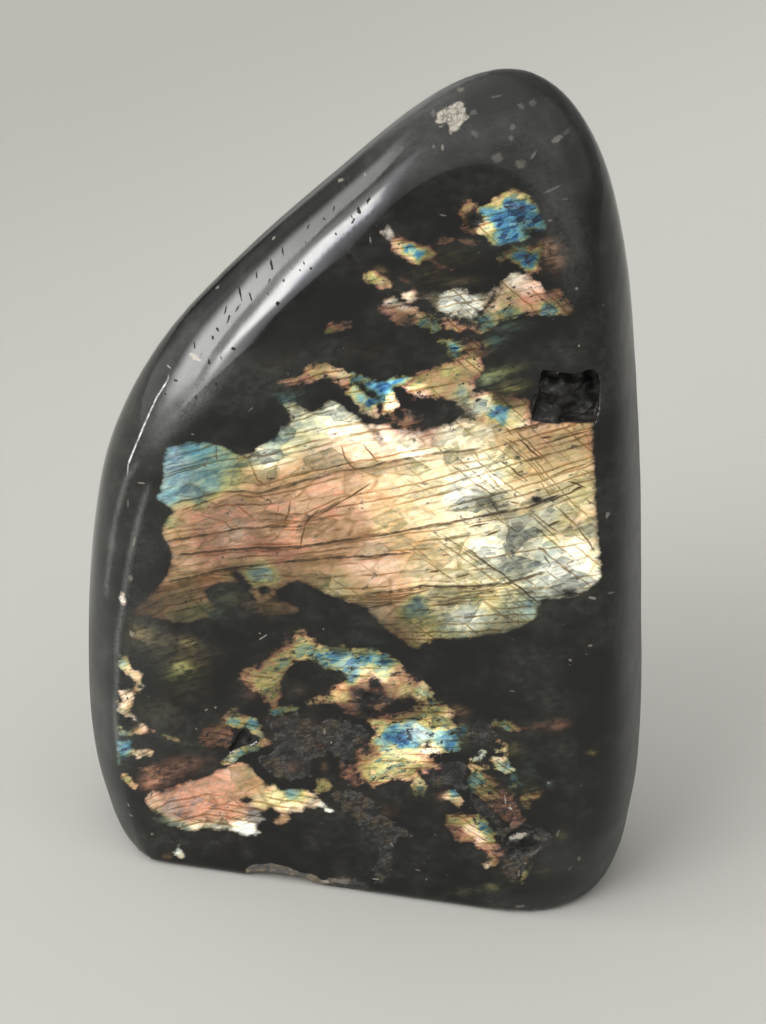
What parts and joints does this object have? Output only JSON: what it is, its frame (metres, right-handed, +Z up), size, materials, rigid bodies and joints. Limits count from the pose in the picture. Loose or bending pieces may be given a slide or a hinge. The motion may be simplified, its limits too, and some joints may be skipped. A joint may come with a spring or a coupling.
{
  "type": "labradorite stone",
  "caption": "Free-standing piece of polished labradorite with a flat front face, rounded rims, a domed back and a flat sawn foot.",
  "frame": {"origin": "middle of the stone's footprint box, on the surface that its sawn foot stands on", "axes": "+Z up from the foot to the tip, -Y out of the flat polished face, +X to the right of a person who looks at that face"},
  "size_m": [0.0723, 0.0315, 0.107],
  "materials": {
    "labradorite": "polished"
  },
  "bodies": {
    "root": {"labradorite_stone": "labradorite"}
  },
  "joints": []
}
